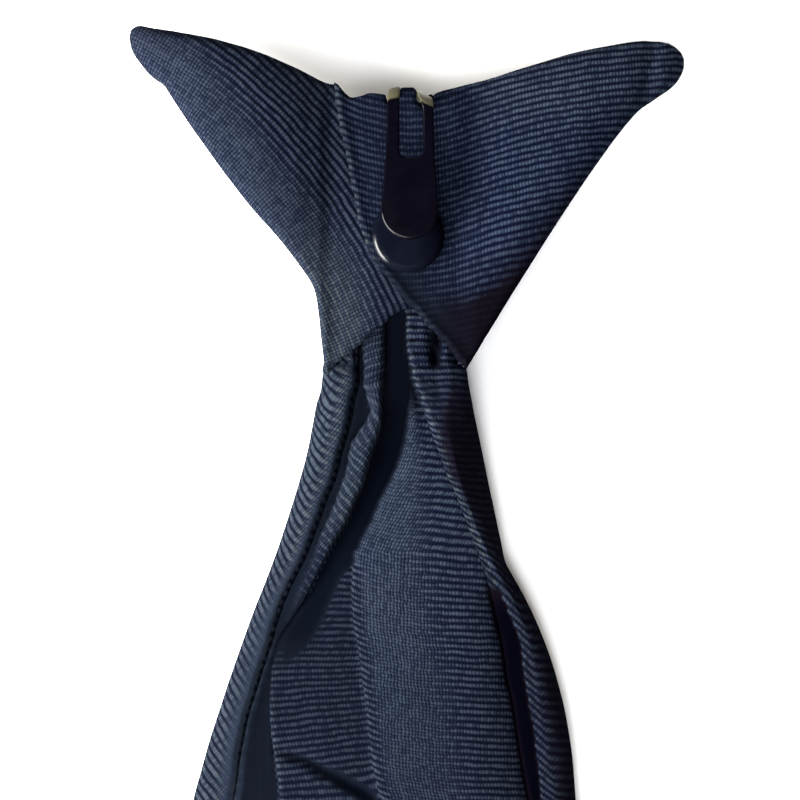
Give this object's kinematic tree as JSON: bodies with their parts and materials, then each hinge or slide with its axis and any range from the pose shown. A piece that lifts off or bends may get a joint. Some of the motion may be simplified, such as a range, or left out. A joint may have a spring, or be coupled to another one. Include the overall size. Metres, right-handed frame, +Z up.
{
  "type": "pre-tied clip-on necktie",
  "caption": "Pre-tied necktie lying face down: ribbed cloth knot with spread wings, a two-prong plastic collar clip over a round pad, and a long folded blade with a pointed tip.",
  "frame": {"origin": "on the surface it lies on, under the middle of its bounding box", "axes": "+Z up, away from the surface, out of the tie's back; +Y along the blade towards the knot; +X to the right in the back view"},
  "size_m": [0.0922, 0.4798, 0.0212],
  "materials": {
    "ribbed_cloth": "fine corded rib, soft sheen",
    "black_plastic": "moulded, glossy"
  },
  "bodies": {
    "root": {"left_wing": "ribbed_cloth", "right_wing": "ribbed_cloth", "knot_front": "ribbed_cloth", "blade": "ribbed_cloth", "clip": "black_plastic", "clip_disc": "black_plastic"}
  },
  "joints": []
}
